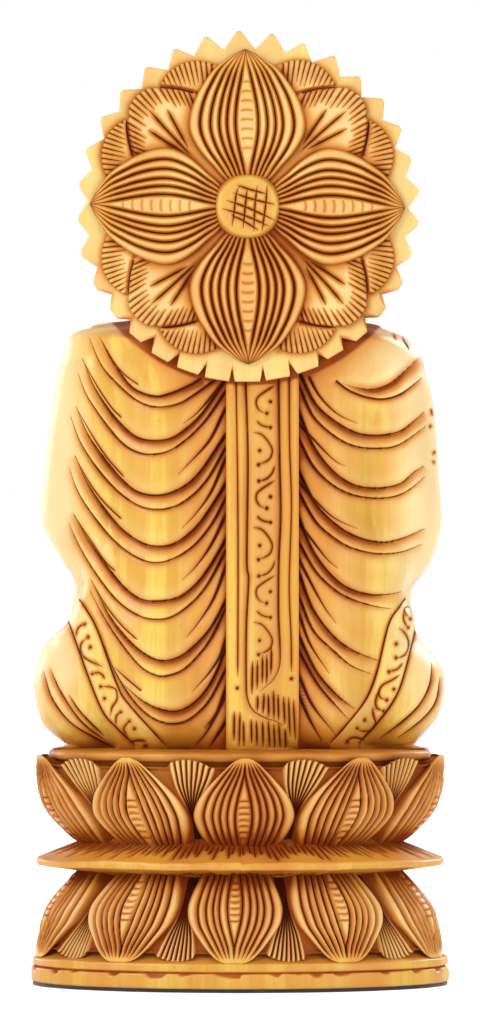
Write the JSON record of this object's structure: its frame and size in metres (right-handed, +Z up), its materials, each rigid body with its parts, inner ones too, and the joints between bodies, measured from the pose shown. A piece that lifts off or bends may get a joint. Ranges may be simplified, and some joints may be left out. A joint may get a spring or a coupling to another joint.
{
  "type": "carved wooden buddha statue",
  "caption": "Carved wooden figure seated on a double lotus pedestal, backed by a toothed flower halo, with a thin felt sheet under the base.",
  "frame": {"origin": "middle of the underside of the felt pad", "axes": "+Z up; the figure faces -Y and the halo's flower faces +Y; +X is the figure's left-hand side"},
  "size_m": [0.112, 0.066, 0.2539],
  "materials": {
    "wood": "pale close-grained wood, dark stain rubbed into the cuts, satin varnish",
    "felt": "thin black felt sheet"
  },
  "bodies": {
    "root": {"carved_statue": "wood", "felt_pad": "felt"}
  },
  "joints": []
}
